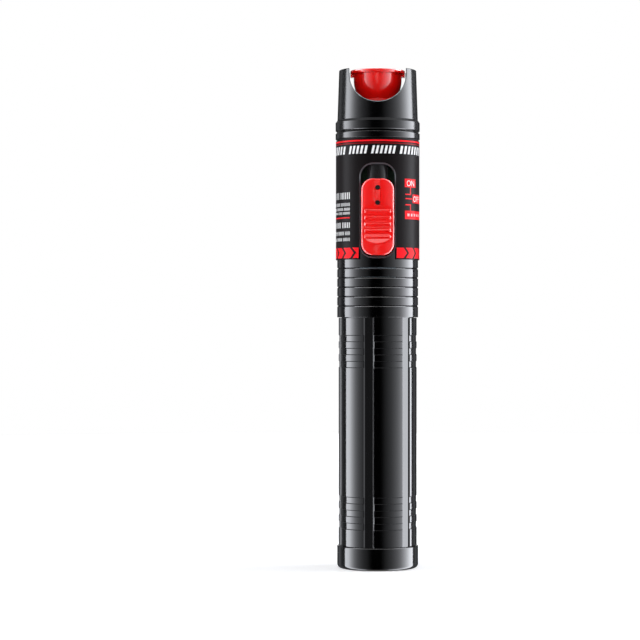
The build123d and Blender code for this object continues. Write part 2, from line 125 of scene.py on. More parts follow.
def as_piece(work, name, *finishes, crease=32):
    """The mesh as an object in metres, smooth up to the crease angle, with flats that shade flat."""
    bmesh.ops.scale(work, vec=(mm, mm, mm), verts=work.verts)
    for face in work.faces:
        face.smooth = True
    for edge in work.edges:
        edge.smooth = len(edge.link_faces) != 2 or edge.calc_face_angle(0) < radians(crease)
    piece = in_scene(work, name, *finishes)
    shading = piece.modifiers.new("even_shading", "WEIGHTED_NORMAL")
    shading.mode = "FACE_AREA_WITH_ANGLE"
    shading.keep_sharp = True
    return piece


def finish_material(name, colour, roughness, **sockets):
    """A surface with its own colour and roughness; other sockets are given by name."""
    made = bpy.data.materials.new(name)
    made.use_nodes = True
    surface = made.node_tree.nodes["Principled BSDF"]
    surface.inputs["Base Color"].default_value = (*colour, 1)
    surface.inputs["Roughness"].default_value = roughness
    for socket, value in sockets.items():
        surface.inputs[socket.replace("_", " ")].default_value = value
    return made


def ranged(tree, source, low, high, start=0, end=1):
    """The source's values from start to end, spread between low and high."""
    spread = tree.nodes.new("ShaderNodeMapRange")
    for socket, value in (("From Min", start), ("From Max", end), ("To Min", low), ("To Max", high)):
        spread.inputs[socket].default_value = value
    tree.links.new(source, spread.inputs["Value"])
    return spread.outputs["Result"]


grain_height = 0.02
grain_detail = 4


def grained(made, scale, rough_low, rough_high, bump, stretch=(1, 1, 1)):
    """Fine noise in object space that varies the roughness and raises a slight grain."""
    tree = made.node_tree
    surface = tree.nodes["Principled BSDF"]
    place = tree.nodes.new("ShaderNodeTexCoord")
    stretched = tree.nodes.new("ShaderNodeMapping")
    stretched.inputs["Scale"].default_value = stretch
    noise = tree.nodes.new("ShaderNodeTexNoise")
    noise.inputs["Scale"].default_value = scale
    noise.inputs["Detail"].default_value = grain_detail
    relief = tree.nodes.new("ShaderNodeBump")
    relief.inputs["Strength"].default_value = bump
    relief.inputs["Distance"].default_value = grain_height * mm
    tree.links.new(place.outputs["Object"], stretched.inputs["Vector"])
    tree.links.new(stretched.outputs["Vector"], noise.inputs["Vector"])
    tree.links.new(ranged(tree, noise.outputs["Fac"], rough_low, rough_high), surface.inputs["Roughness"])
    tree.links.new(noise.outputs["Fac"], relief.inputs["Height"])
    tree.links.new(relief.outputs["Normal"], surface.inputs["Normal"])
    return made


black_anodised = grained(
    finish_material("black_anodised", (0.0007, 0.0007, 0.0008), 0.1),
    scale=9000, rough_low=0.08, rough_high=0.12, bump=0.04, stretch=(1, 1, 0.3),
)

tail_radius, tail_low, tail_spigot_top = node_sizes("tail_cap")
tail_height = 7.0
tail_foot_round = 1.2
tail_rim_round = 0.3
tail_spigot_radius = 10.4
tail_spigot_round = 0.25
tail_bore = 8.6
tail_bore_round = 0.2
tail_floor = 2.4
seal_low = 7.8
seal_high = 8.76
seal_seat_radius = 9.54
tail_cap = as_piece(
    spun((
        (0, tail_low), (tail_radius, tail_low, tail_foot_round), (tail_radius, tail_height, tail_rim_round),
        (tail_spigot_radius, tail_height), (tail_spigot_radius, seal_low), (seal_seat_radius, seal_low),
        (seal_seat_radius, seal_high), (tail_spigot_radius, seal_high),
        (tail_spigot_radius, tail_spigot_top, tail_spigot_round),
        (tail_bore, tail_spigot_top, tail_bore_round), (tail_bore, tail_floor), (0, tail_floor),
    )),
    "turned_tail_cap", black_anodised,
)
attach(tail_cap, "tail_cap")
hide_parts("tail_cap")


# Battery tube
# A long tube turned from the same bar, with two groups of three shallow rings, then six
# flat-floored channels milled along it. The shoulders are broken softly before anodising.
_, tube_low, tube_spigot_top = node_sizes("battery_tube")
tube_radius = 12.15
tube_top = 77.7
tube_bore = 10.5
tube_end_round = 0.15
tube_spigot_radius = 11.25
tube_spigot_round = 0.2
first_ring = 6.4
ring_pitch = 4.0
ring_offsets = [first_ring + ring_pitch * index for index in range(3)]
low_rings = [tube_low + offset for offset in ring_offsets]
high_rings = [tube_top - offset for offset in ring_offsets]
ring_middles = sorted(low_rings + high_rings)
ring_half_width = 1.08
ring_floor_half = 0.86
ring_depth = 0.18
channel_from_front = -13
channel_turn = radians(channel_from_front - 90)
channel_count = 6
channel_floor_half = 1.3
channel_half_width = 1.7
channel_depth = 0.5
channel_blend = 0.03
channel_reach = radians(10)
channel_steps = 60
land_steps = 26

tube_outline = [(tube_bore, tube_low, tube_end_round), (tube_radius, tube_low, tube_end_round)]
for middle in ring_middles:
    tube_outline += [
        (tube_radius, middle - ring_half_width), (tube_radius - ring_depth, middle - ring_floor_half),
        (tube_radius - ring_depth, middle + ring_floor_half), (tube_radius, middle + ring_half_width),
    ]
tube_outline += [
    (tube_radius, tube_top, tube_end_round), (tube_spigot_radius, tube_top),
    (tube_spigot_radius, tube_spigot_top, tube_spigot_round), (tube_bore, tube_spigot_top, tube_spigot_round),
]


def channelled(outline):
    """The outline turned in close steps at each channel, whose points then sink to the cutter's form."""
    work = rounded_outline(outline, segments=3)
    first_channel = Matrix.Rotation(channel_turn - channel_reach, 3, "Z")
    bmesh.ops.rotate(work, cent=(0, 0, 0), matrix=first_channel, verts=work.verts)
    moving = work.verts[:] + work.edges[:]
    land = tau / channel_count - 2 * channel_reach
    for angle, steps in ((2 * channel_reach, channel_steps), (land, land_steps)):
        moving = swept(work, moving, angle, steps)["geom_last"]
    repeated(work, channel_count)
    floor_depth = tube_radius - channel_depth
    shore_depth = sqrt(tube_radius**2 - channel_half_width**2)
    slope = (shore_depth - floor_depth) / (channel_half_width - channel_floor_half)
    for vert in work.verts:
        radius = hypot(vert.co.x, vert.co.y)
        if radius < floor_depth:
            continue
        turn = (atan2(vert.co.y, vert.co.x) - channel_turn) % (tau / channel_count)
        turn = min(turn, tau / channel_count - turn)
        across = radius * sin(turn)
        depth = max(floor_depth, floor_depth + slope * (across - channel_floor_half))
        cut = depth / cos(turn)
        share = max(0, min(1, 0.5 + 0.5 * (radius - cut) / channel_blend))
        sunk = radius * (1 - share) + cut * share - channel_blend * share * (1 - share) / 2
        vert.co.x *= sunk / radius
        vert.co.y *= sunk / radius
    return work


ring_black = grained(
    finish_material("ring_black", (0.0007, 0.0007, 0.0008), 0.5, Specular_IOR_Level=0.1),
    scale=4000, rough_low=0.45, rough_high=0.6, bump=0.1,
)
battery_tube = as_piece(channelled(tube_outline), "channelled_battery_tube", black_anodised, ring_black)
# The slanting sides of the rings are duller than their floors and the tube.
side_margin = 0.05
side_tilt = 0.5
for face in battery_tube.data.polygons:
    height = face.center.z / mm
    near_ring = any(abs(height - middle) < ring_half_width + side_margin for middle in ring_middles)
    if near_ring and abs(face.normal.z) > side_tilt:
        face.material_index = 1
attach(battery_tube, "pen")
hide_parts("battery_tube")


# Switch housing
# The anodised aluminium shell that holds the switch: a gloss barrel with five turned grooves, a
# plain length under the label with the button's slot cut through it, and a satin collar at the top.
collar_radius, _, collar_top = node_sizes("switch_housing")
collar_low = 133.0
collar_round = 0.22
collar_chamfer = 0.4
chamfer_round = 0.08
neck_height = 0.6
barrel_radius = 12.6
barrel_low = 77.8
barrel_round = 0.16
housing_bore = 10.9
housing_socket = 11.35
socket_top = 85.5
first_groove = 3.5
groove_pitch = 2.9
groove_middles = [barrel_low + first_groove + groove_pitch * index for index in range(5)]
groove_top = 0.24
groove_foot = 0.24
groove_depth = 0.32
groove_root = 0.12
groove_round = 0.03
slot_half = 5.2
slot_low = 96.4
slot_high = 124.7
slot_corner = 3.7
slot_bevel = 0.45
cutter_near = 8.0
cutter_far = 20.0
cutter_over = 0.4


def rounded_plate(half_width, low, high, corner, segments=14):
    """A flat rounded rectangle in the XZ plane, as one face."""
    work = bmesh.new()
    corners = [(-half_width, low), (half_width, low), (half_width, high), (-half_width, high)]
    verts = [work.verts.new((x, 0, z)) for x, z in corners]
    work.faces.new(verts)
    bmesh.ops.bevel(
        work, geom=verts, offset=corner, segments=segments, profile=0.5,
        affect="VERTICES", material=-1, clamp_overlap=False,
    )
    return work


def drawn_out(work, moves):
    """Extrudes the flat face through several places, each a function of a point, into a closed cutter."""
    face = next(iter(work.faces))
    for vert in face.verts:
        vert.co = moves[0](vert.co)
    for index, move in enumerate(moves[1:]):
        grown = bmesh.ops.extrude_face_region(work, geom=[face], use_keep_orig=True)
        if index:
            bmesh.ops.delete(work, geom=[face], context="FACES_ONLY")
        face = [item for item in grown["geom"] if isinstance(item, bmesh.types.BMFace)][0]
        for vert in face.verts:
            vert.co = move(vert.co)
    bmesh.ops.recalc_face_normals(work, faces=work.faces)
    return work


def ahead(depth):
    """A move for drawn_out that lays the outline at one depth, towards the front."""
    return lambda point: Vector((point.x, -depth, point.z))


fine_gap = 1e-5


def carved(work, *cutters):
    """The mesh less each cutter, as a new bmesh."""
    body = in_scene(work, "carved_body")
    tools = [in_scene(cutter, "cutter") for cutter in cutters]
    for tool in tools:
        cut = body.modifiers.new("cut", "BOOLEAN")
        cut.operation = "DIFFERENCE"
        cut.solver = "EXACT"
        cut.object = tool
    bpy.context.view_layer.update()
    evaluated = body.evaluated_get(bpy.context.evaluated_depsgraph_get())
    data = bpy.data.meshes.new_from_object(evaluated)
    result = bmesh.new()
    result.from_mesh(data)
    for tool in tools + [body]:
        old = tool.data
        bpy.data.objects.remove(tool)
        bpy.data.meshes.remove(old)
    bpy.data.meshes.remove(data)
    bmesh.ops.remove_doubles(result, verts=result.verts, dist=fine_gap)
    bmesh.ops.dissolve_degenerate(result, dist=fine_gap, edges=result.edges)
    return result


def slot_cutter():
    """The slot with its flared rim: straight sides inside, and a bevel that follows the round shell."""
    plate = rounded_plate(slot_half, slot_low, slot_high, slot_corner)
    middle = (slot_low + slot_high) / 2
    rise = (slot_high - slot_low) / 2

    def flared(point, spread):
        core_x = max(-slot_half + slot_corner, min(slot_half - slot_corner, point.x))
        core_z = max(-rise + slot_corner, min(rise - slot_corner, point.z - middle))
        out = Vector((point.x - core_x, 0, point.z - middle - core_z))
        out.normalize()
        return Vector((point.x + out.x * spread, point.y, point.z + out.z * spread))

    def on_shell(point, radius):
        return Vector((point.x, -sqrt(radius**2 - point.x**2), point.z))

    return drawn_out(plate, [
        ahead(cutter_near),
        lambda point: on_shell(point, barrel_radius - slot_bevel),
        lambda point: on_shell(flared(point, slot_bevel + cutter_over), barrel_radius + cutter_over),
        ahead(cutter_far),
    ])


housing_outline = [(housing_socket, barrel_low), (barrel_radius, barrel_low, barrel_round)]
for middle in groove_middles:
    housing_outline += [
        (barrel_radius, middle - groove_foot, groove_round),
        (barrel_radius - groove_depth, middle + groove_top - groove_root, groove_round),
        (barrel_radius, middle + groove_top, groove_round),
    ]
housing_outline += [
    (barrel_radius, collar_low - neck_height), (barrel_radius, collar_low),
    (collar_radius, collar_low, collar_round), (collar_radius, collar_top - collar_chamfer, chamfer_round),
    (collar_radius - collar_chamfer, collar_top), (housing_bore, collar_top), (housing_bore, socket_top),
    (housing_socket, socket_top),
]
# Pale grey painted on chamfered edges, a painted highlight for the line those edges catch.
pale_edge_painted_highlight = grained(
    finish_material("pale_edge_painted_highlight", (0.06, 0.074, 0.084), 0.35),
    scale=3000, rough_low=0.3, rough_high=0.4, bump=0.08,
)
satin_black = grained(
    finish_material("satin_black", (0.0009, 0.0009, 0.001), 0.18, Specular_IOR_Level=0.4),
    scale=6000, rough_low=0.16, rough_high=0.2, bump=0.05,
)
switch_housing = as_piece(
    carved(spun(housing_outline), slot_cutter()),
    "grooved_switch_housing", black_anodised, pale_edge_painted_highlight, satin_black, ring_black,
)
# The slot's bevel is painted pale grey, a painted highlight, and the same mask also takes parts of
# the two top grooves at the front. The neck under the collar is dull and the collar satin.
front_low = 90
front_tilt = -0.2
skin = 0.01
for face in switch_housing.data.polygons:
    radius = hypot(face.center.x, face.center.y) / mm
    x, height = face.center.x / mm, face.center.z / mm
    in_front = face.center.y < 0 and abs(x) < slot_half + slot_bevel and height > front_low
    on_bevel = barrel_radius - slot_bevel < radius < barrel_radius - skin and face.normal.y < front_tilt
    if in_front and on_bevel:
        face.material_index = 1
    if height > collar_low - neck_height:
        face.material_index = 2 if height > collar_low + skin else 3
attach(switch_housing, "pen")
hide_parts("switch_housing")


# Label sleeve
# A printed film of near-black matt plastic wrapped round the housing, with a window round
# the slot that runs out at its lower edge.
label_radius, label_low, label_high = node_sizes("label_sleeve")
label_inner = 12.62
label_round = 0.06
window_half = slot_half + slot_bevel
window_high = slot_high + slot_bevel
window_corner = slot_corner + slot_bevel
window_run_out = 20
window = drawn_out(
    rounded_plate(window_half, label_low - window_run_out, window_high, window_corner),
    [ahead(cutter_near), ahead(cutter_far)],
)
label_film = grained(
    finish_material("label_film", (0.0068, 0.0053, 0.0056), 0.35, Specular_IOR_Level=0.04),
    scale=2500, rough_low=0.32, rough_high=0.38, bump=0.06,
)
label_sleeve = as_piece(
    carved(
        spun((
            (label_inner, label_low), (label_radius, label_low, label_round),
            (label_radius, label_high, label_round), (label_inner, label_high),
        )),
        window,
    ),
    "printed_label_sleeve", label_film,
)
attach(label_sleeve, "pen")
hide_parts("label_sleeve")


# Print on the label
# Screen-printed ink in two reds and white, a hundredth of a millimetre proud of the film. The marks
# are plain: two lines, a row of slanted strokes, rows of short strokes, mode marks and a chevron band.
ink_rise = 0.012
ink_step = 0.5


def printing_ink(name, colour):
    """A matt ink with a fine grain."""
    return grained(
        finish_material(name, colour, 0.35, Specular_IOR_Level=0.08),
        scale=3000, rough_low=0.32, rough_high=0.4, bump=0.06,
    )


red_ink = printing_ink("red_ink", (0.98, 0.010, 0.018))
dark_red_ink = printing_ink("dark_red_ink", (0.22, 0.004, 0.006))
white_ink = printing_ink("white_ink", (0.93, 0.93, 0.93))


def around(angle):
    """Distance along the label's surface for an angle in degrees from the button towards +X."""
    return radians(angle) * label_radius


def wrapped(name, work, ink, proud=1):
    """A flat mesh of (distance round, height) cut in strips and laid on the label, proud inks thick."""
    bmesh.ops.remove_doubles(work, verts=work.verts, dist=merge_gap)
    reach = [vert.co.x for vert in work.verts]
    place = min(reach) + ink_step
    while place < max(reach):
        bmesh.ops.bisect_plane(
            work, geom=work.verts[:] + work.edges[:] + work.faces[:], dist=hair_gap,
            plane_co=(place, 0, 0), plane_no=(1, 0, 0),
        )
        place += ink_step
    bmesh.ops.recalc_face_normals(work, faces=work.faces)
    grown = bmesh.ops.extrude_face_region(work, geom=work.faces[:], use_keep_orig=True)
    raised = set(verts_in(grown["geom"]))
    for vert in work.verts:
        radius = label_radius + (ink_rise * proud if vert in raised else -ink_rise)
        turn = vert.co.x / label_radius
        vert.co = Vector((radius * sin(turn), -radius * cos(turn), vert.co.z))
    bmesh.ops.recalc_face_normals(work, faces=work.faces)
    piece = as_piece(work, name, ink)
    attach(piece, "pen")
    return piece


def stamped(name, shapes, ink):
    """Flat outlines of (distance round, height) points, laid on the label."""
    work = bmesh.new()
    for shape in shapes:
        work.faces.new([work.verts.new((u, 0, z)) for u, z in shape])
    return wrapped(name, work, ink)


capital_share = 0.7


def lettered(name, words, height, ink):
    """Plain capitals on the label, each word given with its left edge and its foot."""
    work = bmesh.new()
    for word, left, foot in words:
        data = bpy.data.curves.new(word, "FONT")
        data.body = word
        data.size = height / capital_share
        text = bpy.data.objects.new(word, data)
        scene.collection.objects.link(text)
        bpy.context.view_layer.update()
        flat = bpy.data.meshes.new_from_object(text.evaluated_get(bpy.context.evaluated_depsgraph_get()))
        letters = bmesh.new()
        letters.from_mesh(flat)
        start = min(vert.co.x for vert in letters.verts)
        for vert in letters.verts:
            vert.co = Vector((left + vert.co.x - start, 0, foot + vert.co.y))
        letters.to_mesh(flat)
        letters.free()
        work.from_mesh(flat)
        bpy.data.objects.remove(text)
        bpy.data.curves.remove(data)
        bpy.data.meshes.remove(flat)
    return wrapped(name, work, ink, proud=2)


def bar(left, right, low, high, slant=0.0):
    """A bar between two distances round the label, leaning right by the slant."""
    lean = (high - low) * slant
    return [(left, low), (right, low), (right + lean, high), (left + lean, high)]


full_round = tau * label_radius
seam = -full_round / 2
red_line = (131.68, 132.18)
dark_red_line = (130.98, 131.3)
stamped("red_line", [bar(seam, seam + full_round, *red_line)], red_ink)
stamped("dark_red_line", [bar(seam, seam + full_round, *dark_red_line)], dark_red_ink)

# The title's groups: where each starts and ends in degrees, and its number of strokes.
title_groups = ((-92, -48, 6), (-43, -13, 5), (-9, 26, 6), (31, 80, 7))
title_low = 127.95
title_high = 130.4
title_slant = 0.22
title_share = 0.55
title = []
for start, end, count in title_groups:
    pitch = (around(end) - around(start)) / count
    for index in range(count):
        left = around(start) + index * pitch
        title.append(bar(left, left + title_share * pitch, title_low, title_high, title_slant))
stamped("title_strokes", title, white_ink)

# Each row of text: its foot, its top, a stroke's width, and the strokes of its words from the right.
text_rows = (
    (114.15, 116.2, 0.36, (6, 4)), (112.0, 113.0, 0.22, (9, 6, 5)), (110.65, 111.5, 0.2, (6, 9, 6)),
    (109.45, 110.2, 0.18, (8, 5, 8)), (105.3, 107.0, 0.34, (5, 7)), (103.1, 104.2, 0.2, (5, 8, 6)),
    (101.25, 102.25, 0.24, (6, 7, 4)),
)
text_right = around(-41.4)
rule_left = around(-86)
rule_heights = (108.25, 108.6)
stroke_pitch = 2.3
word_space = 2
strokes = []
for low, high, width, words in text_rows:
    right = text_right
    for letters in words:
        for _ in range(letters):
            strokes.append(bar(right - width, right, low, high))
            right -= stroke_pitch * width
        right -= word_space * width
stamped("text_strokes", strokes, white_ink)
stamped("text_rule", [bar(rule_left, text_right, *rule_heights)], red_ink)

# Three filled boxes, joined by thin lines that bend at three heights between them.
box_high = (117.8, 120.4)
box_middle = (113.0, 115.7)
box_low = (108.0, 110.6)
bend_high = 115.8
bend_middle = 114.3
bend_low = 112.6
line = 0.36
mark_left = around(41)
mark_line = around(51)
marks = [
    bar(around(39.8), around(63.9), *box_high),
    bar(around(56), around(85), *box_middle),
    bar(around(40.3), around(85), *box_low),
    bar(mark_line - line / 2, mark_line + line / 2, bend_high, box_high[0]),
    bar(mark_left, mark_line + line / 2, bend_high - line, bend_high),
    bar(mark_left, around(54.6), bend_middle - line / 2, bend_middle + line / 2),
    bar(mark_left, mark_line + line / 2, bend_low - line, bend_low),
    bar(mark_line - line / 2, mark_line + line / 2, box_low[1], bend_low - line),
]
stamped("mode_marks", marks, red_ink)
mode_words = (("ON", around(43.5), 118.2), ("OFF", around(57.5), 113.45))
mode_letter_height = 1.75
lettered("mode_words", mode_words, mode_letter_height, white_ink)
dash = 0.8
dash_starts = [around(45) + 2 * index * dash for index in range(5)]
dash_heights = (108.9, 109.7)
stamped("blink_dashes", [bar(start, start + dash, *dash_heights) for start in dash_starts], white_ink)

chevron_low = 96.0
chevron_high = 99.2
chevron_middle = (chevron_low + chevron_high) / 2
chevron_pitch = 17.6
first_tip = 44.0
chevron_lean = around(6.2)
chevron_gap = around(4.0)
window_margin = 0.9
window_edge = degrees(asin(window_half / label_radius)) + window_margin
tips = [first_tip + chevron_pitch * index for index in range(17)]
edges = [window_edge] + tips + [360 - window_edge]
band = []
for start, end in zip(edges, edges[1:]):
    left = around(start)
    right = around(end)
    left_lean = right_lean = chevron_lean
    if start == window_edge:
        left_lean = 0
    else:
        left += chevron_gap
    if end == edges[-1]:
        right_lean = 0
    for edge_height in (chevron_low, chevron_high):
        band.append([
            (left - left_lean, edge_height), (right - right_lean, edge_height), (right, chevron_middle),
            (left, chevron_middle),
        ])
stamped("chevron_band", band, red_ink)


# Slide button
# Injection-moulded gloss red plastic with a thumb scoop, five grip ridges, a groove down its
# upper half and two holes that snap on the carrier's pegs.
button_low_corner, button_high_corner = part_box("slide_button")
button_half = (button_high_corner.x - button_low_corner.x) / 2 / mm
button_low = button_low_corner.z / mm
button_high = button_high_corner.z / mm
button_radius = 14.0
button_back = 10.73
button_corner = 3.55
button_edge = 0.6
scoop_radius = 11.15
scoop_half = 6.0
scoop_height = 106.35
scoop_axis = button_radius + sqrt(scoop_radius**2 - scoop_half**2)
scoop_reach = scoop_radius - 1
scoop_blend = 0.3
ridge_count = 5
ridge_pitch = 2.02
ridge_half = 4.1
ridge_radius = 0.55
ridge_rise = 0.45
ridge_blend = 0.16
guide_half = 0.835
guide_depth = 0.85
guide_end = 112.18
guide_slope = 0.12
peg_heights = (112.9, 117.5)
peg_hole = 0.75
hole_near = 9
hole_far = 15


def soft_min(first, second, blend):
    """The smaller of two values, rounded over where they meet."""
    share = max(0, min(1, 0.5 + 0.5 * (second - first) / blend))
    return second * (1 - share) + first * share - blend * share * (1 - share)


def soft_max(first, second, blend):
    """The larger of two values, rounded over where they meet."""
    return -soft_min(-first, -second, blend)


def button_front(x, z):
    """How far the button's face stands from the axis plane at a point of its outline."""
    face = sqrt(button_radius**2 - x * x)
    away = z - scoop_height
    if abs(away) < scoop_reach:
        bed = scoop_axis - sqrt(scoop_radius**2 - away**2)
        for index in range(ridge_count):
            rise = (index - (ridge_count - 1) / 2) * ridge_pitch
            off = hypot(max(0, abs(x) - ridge_half + ridge_radius), away - rise)
            if off < 2 * ridge_radius:
                seat = scoop_axis - sqrt((scoop_radius + ridge_radius - ridge_rise) ** 2 - rise**2)
                crown = sqrt(max(0, ridge_radius**2 - off**2)) if off < ridge_radius else ridge_radius - off
                bed = soft_max(bed, seat + crown, ridge_blend)
        face = soft_min(face, bed, scoop_blend)
    guide = sqrt((button_radius - guide_depth) ** 2 - x * x)
    inside = min(guide_half - abs(x), z - guide_end)
    wall = max(0, min(1, 0.5 + inside / guide_slope))
    face -= max(0, face - guide) * wall * wall * (3 - 2 * wall)
    middle = (button_low + button_high) / 2
    corner_x = abs(x) - (button_half - button_corner)
    corner_z = abs(z - middle) - ((button_high - button_low) / 2 - button_corner)
    past = hypot(max(corner_x, 0), max(corner_z, 0)) + min(max(corner_x, corner_z), 0)
    inset = max(0, button_corner - past)
    if inset < button_edge:
        face -= button_edge - sqrt(max(0, button_edge**2 - (button_edge - inset) ** 2))
    return face


def button_mesh():
    """A fine grid bent over the button's face, with walls and a back."""
    flat_half = button_half - button_corner
    guide_columns = [guide_half + off for off in (-0.09, -0.06, -0.03, 0, 0.03, 0.06, 0.09)]
    inner = [0, 0.25, 0.5, 0.68] + guide_columns + [1.1, 1.3]
    outer_count = 34
    columns = [(1, "flat", value) for value in inner]
    columns += [(1, "round", sin(pi / 2 * index / outer_count)) for index in range(outer_count + 1)]
    columns = [(-1, kind, value) for _, kind, value in reversed(columns[1:])] + columns
    arc_rows = 26
    run_low = button_low + button_corner
    run_high = button_high - button_corner
    run_rows = 150
    turns = [pi / 2 * index / arc_rows for index in range(arc_rows + 1)]
    rows = [button_low + button_corner * (1 - cos(turn)) for turn in turns[:-1]]
    rows += [run_low + (run_high - run_low) * index / run_rows for index in range(run_rows)]
    rows += [button_high - button_corner * (1 - sin(turn)) for turn in turns]
    work = bmesh.new()
    bmesh.ops.create_grid(work, x_segments=len(columns) - 1, y_segments=len(rows) - 1, size=1)
    for vert in work.verts:
        column = round((vert.co.x + 1) / 2 * (len(columns) - 1))
        row = round((vert.co.y + 1) / 2 * (len(rows) - 1))
        side, kind, value = columns[column]
        z = rows[row]
        over = max(0, run_low - z, z - run_high)
        half = flat_half + sqrt(max(0, button_corner**2 - over**2))
        x = side * (value if kind == "flat" else flat_half + value * (half - flat_half))
        vert.co = Vector((x, -button_front(x, z), z))
    bmesh.ops.remove_doubles(work, verts=work.verts, dist=fine_gap)
    grown = bmesh.ops.extrude_face_region(work, geom=work.faces[:], use_keep_orig=True)
    for vert in verts_in(grown["geom"]):
        vert.co.y = -sqrt(button_back**2 - vert.co.x**2)
    bmesh.ops.recalc_face_normals(work, faces=work.faces)
    return work


def rod_cutter(radius, height, near, far, segments=40):
    """A round rod that looks forwards, as a cutter or a peg."""
    work = bmesh.new()
    bmesh.ops.create_cone(
        work, cap_ends=True, segments=segments, radius1=radius, radius2=radius, depth=far - near,
        matrix=Matrix.Translation((0, -(near + far) / 2, height)) @ Matrix.Rotation(pi / 2, 4, "X"),
    )
    return work


button_red = grained(
    finish_material(
        "button_red", (0.98, 0.004, 0.003), 0.2, Coat_Weight=0.2, Coat_IOR=2.5, Coat_Roughness=0.1
    ),
    scale=1500, rough_low=0.16, rough_high=0.2, bump=0.04,
)
peg_holes = [rod_cutter(peg_hole, height, hole_near, hole_far) for height in peg_heights]
slide_button = as_piece(carved(button_mesh(), *peg_holes), "moulded_slide_button", button_red)
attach(slide_button, "switch_slider")
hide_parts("slide_button")


# Slide carrier
# A curved strip of gloss black plastic behind the slot. It closes the slot above the button,
# drags the switch knob along and holds the button by two round pegs.
carrier_low_corner, carrier_high_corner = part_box("slide_carrier")
carrier_half = carrier_high_corner.x / mm
carrier_outer = 10.7
carrier_inner = 9.7
carrier_crown = 4.6
carrier_steps = 40
inner_edge_round = 0.1
outer_edge_round = 0.2
knob_height = 115.2
knob_room = 1.15
peg_radius = 0.72
peg_root = carrier_inner + 0.2
peg_end = 13.25


def carrier_mesh():
    """The strip as a short arc of wall, with the knob's hole cut."""
    low = carrier_low_corner.z / mm
    high = carrier_high_corner.z / mm
    turn = asin(carrier_half / carrier_outer)
    work = rounded_outline([
        (carrier_inner, low, inner_edge_round), (carrier_outer, low, outer_edge_round),
        (carrier_outer, high, outer_edge_round), (carrier_inner, high, inner_edge_round),
    ])
    bmesh.ops.rotate(work, cent=(0, 0, 0), matrix=Matrix.Rotation(-pi / 2 - turn, 3, "Z"), verts=work.verts)
    swept(work, work.verts[:] + work.edges[:], 2 * turn, carrier_steps)
    bmesh.ops.holes_fill(work, edges=[edge for edge in work.edges if len(edge.link_faces) == 1], sides=0)
    for vert in work.verts:
        share = (hypot(vert.co.x, vert.co.y) - carrier_inner) / (carrier_outer - carrier_inner)
        crowned = carrier_crown - carrier_outer - sqrt(carrier_crown**2 - vert.co.x**2)
        vert.co.y += (crowned - vert.co.y) * max(0, share) ** 2
    bmesh.ops.recalc_face_normals(work, faces=work.faces)
    hole = bmesh.new()
    knob_place = Matrix.Translation((0, -carrier_outer, knob_height))
    bmesh.ops.create_cube(hole, size=2 * knob_room, matrix=knob_place)
    return carved(work, hole)


gloss_black = grained(
    finish_material("gloss_black", (0.014, 0.014, 0.015), 0.2),
    scale=1500, rough_low=0.18, rough_high=0.24, bump=0.06,
)
slide_carrier = as_piece(carrier_mesh(), "curved_slide_carrier", gloss_black)
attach(slide_carrier, "switch_slider")
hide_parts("slide_carrier")
for number, height in enumerate(peg_heights, 1):
    peg = as_piece(rod_cutter(peg_radius, height, peg_root, peg_end), f"button_peg_{number}", gloss_black)
    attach(peg, "switch_slider")


# Head
# A turned and milled aluminium guard, anodised in satin black. Its tapered wall stands round the
# port, and a round-bottomed notch front and back lets two fingers take the dust cap. The notch's
# outer edge is broken and painted pale grey, a painted highlight.
head_radius, head_spigot_low, head_top = node_sizes("head_cap")
head_low = 135.35
flange_chamfer = 0.4
head_flange_top = 138.2
shoulder_rise = 0.8
head_base_radius = 12.52
head_top_radius = 12.0
head_top_round = 0.25
well_radius = 10.4
well_floor_top = 139.5
well_floor_low = 136.5
well_round = 0.3
head_spigot_radius = 10.8
head_spigot_round = 0.15
head_skirt_bore = 9.3
neck_bore = 4.2
notch_radius = 8.7
notch_middle = 152.8
notch_chamfer = 0.25
notch_over = 5
notch_steps = 72


def notch_outline():
    """The notch seen from the front, a half round with straight sides up past the top."""
    work = bmesh.new()
    arc = []
    for index in range(notch_steps + 1):
        turn = pi * index / notch_steps
        arc.append(work.verts.new((-notch_radius * cos(turn), 0, notch_middle - notch_radius * sin(turn))))
    top = [work.verts.new((x, 0, head_top + notch_over)) for x in (notch_radius, -notch_radius)]
    work.faces.new(arc + top)
    return work


def notch_cutter():
    """The notch from back to front."""
    return drawn_out(notch_outline(), [ahead(-cutter_far), ahead(cutter_far)])


def head_wall(height):
    """Radius of the head's tapered outside at a height."""
    share = (height - head_flange_top - shoulder_rise) / (head_top - head_flange_top - shoulder_rise)
    return head_base_radius + (head_top_radius - head_base_radius) * share


def notch_rim_cutter(side):
    """Flares the notch's outer edge, in a wedge that follows the tapered wall."""

    def placed(point, spread, out):
        way = Vector((point.x, 0, min(0, point.z - notch_middle))).normalized()
        x, z = point.x + way.x * spread, point.z + way.z * spread
        return Vector((x, side * sqrt((head_wall(z) + out) ** 2 - x * x), z))

    return drawn_out(notch_outline(), [
        lambda point: placed(point, 0, -notch_chamfer),
        lambda point: placed(point, notch_chamfer + cutter_over, cutter_over),
    ])


head_cap = as_piece(
    carved(
        spun((
            (head_skirt_bore, head_spigot_low), (head_spigot_radius, head_spigot_low, head_spigot_round),
            (head_spigot_radius, head_low), (head_radius - flange_chamfer, head_low),
            (head_radius, head_low + flange_chamfer, chamfer_round), (head_radius, head_flange_top),
            (head_base_radius, head_flange_top + shoulder_rise), (head_top_radius, head_top, head_top_round),
            (well_radius, head_top, head_top_round), (well_radius, well_floor_top, well_round),
            (neck_bore, well_floor_top), (neck_bore, well_floor_low), (head_skirt_bore, well_floor_low),
        ), sections=360),
        notch_cutter(), notch_rim_cutter(-1), notch_rim_cutter(1),
    ),
    "notched_head_guard", satin_black, ring_black, pale_edge_painted_highlight,
)
